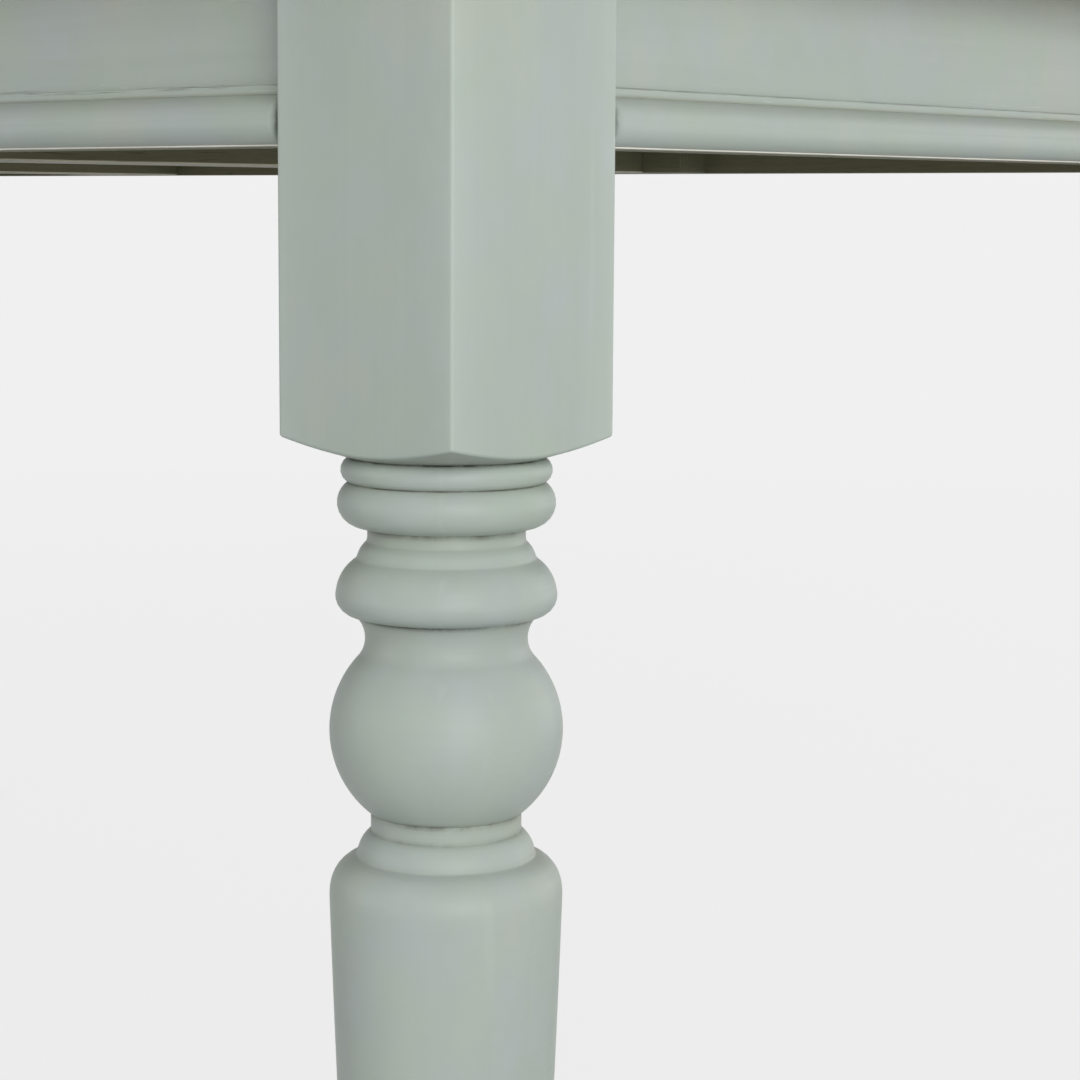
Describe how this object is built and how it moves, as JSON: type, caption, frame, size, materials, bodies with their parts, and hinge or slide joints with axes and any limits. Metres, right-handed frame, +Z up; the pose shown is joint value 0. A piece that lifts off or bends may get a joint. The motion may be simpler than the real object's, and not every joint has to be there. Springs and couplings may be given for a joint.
{
  "type": "kitchen table with drawers",
  "caption": "Painted farmhouse kitchen table with turned legs, a planked wooden top, beaded aprons and a shallow sliding drawer in each long side.",
  "frame": {"origin": "on the floor, under the centre of the table", "axes": "+X along the table's length to the right, +Y from the front to the back, +Z up"},
  "size_m": [1.75, 0.9, 0.765],
  "materials": {
    "sage_paint": "satin hand-painted pale sage over wood",
    "oak": "oiled oak boards",
    "bare_wood": "unpainted softwood, left bare out of sight",
    "drawer_ply": "thin birch plywood",
    "steel": "zinc plated",
    "glide": "moulded nylon"
  },
  "bodies": {
    "table": {"apron_back_left": "sage_paint", "apron_back_right": "sage_paint", "apron_front_left": "sage_paint", "apron_front_right": "sage_paint", "bearer_blocks": "bare_wood", "brace_screws": "steel", "button_screws": "steel", "corner_brace_back_left": "bare_wood", "corner_brace_back_right": "bare_wood", "corner_brace_front_left": "bare_wood", "corner_brace_front_right": "bare_wood", "drawer_bearer_left": "bare_wood", "drawer_bearer_right": "bare_wood", "drawer_guide_left": "bare_wood", "drawer_guide_right": "bare_wood", "drawer_stop_left": "bare_wood", "drawer_stop_right": "bare_wood", "end_apron_left": "sage_paint", "end_apron_right": "sage_paint", "foot_glides": "glide", "leg_back_left": "sage_paint", "leg_back_right": "sage_paint", "leg_bolt_nuts": "steel", "leg_bolt_washers": "steel", "leg_bolts": "steel", "leg_front_left": "sage_paint", "leg_front_right": "sage_paint", "low_rail_back": "sage_paint", "low_rail_front": "sage_paint", "moulding_back": "sage_paint", "moulding_front": "sage_paint", "moulding_left": "sage_paint", "moulding_right": "sage_paint", "top_board_1": "oak", "top_board_2": "oak", "top_board_3": "oak", "top_board_4": "oak", "top_board_5": "oak", "top_board_6": "oak", "top_buttons": "bare_wood"},
    "front_drawer": {"front_drawer_back": "bare_wood", "front_drawer_bottom": "drawer_ply", "front_drawer_front": "sage_paint", "front_drawer_knob_screws": "steel", "front_drawer_knobs": "sage_paint", "front_drawer_side_left": "bare_wood", "front_drawer_side_right": "bare_wood"},
    "back_drawer": {"back_drawer_back": "bare_wood", "back_drawer_bottom": "drawer_ply", "back_drawer_front": "sage_paint", "back_drawer_knob_screws": "steel", "back_drawer_knobs": "sage_paint", "back_drawer_side_left": "bare_wood", "back_drawer_side_right": "bare_wood"}
  },
  "joints": [
    {"name": "front_drawer_slide", "type": "slide", "parent": "table", "child": "front_drawer", "axis": [0, -1, 0], "range_m": [0, 0.27]},
    {"name": "back_drawer_slide", "type": "slide", "parent": "table", "child": "back_drawer", "axis": [0, 1, 0], "range_m": [0, 0.27]}
  ]
}
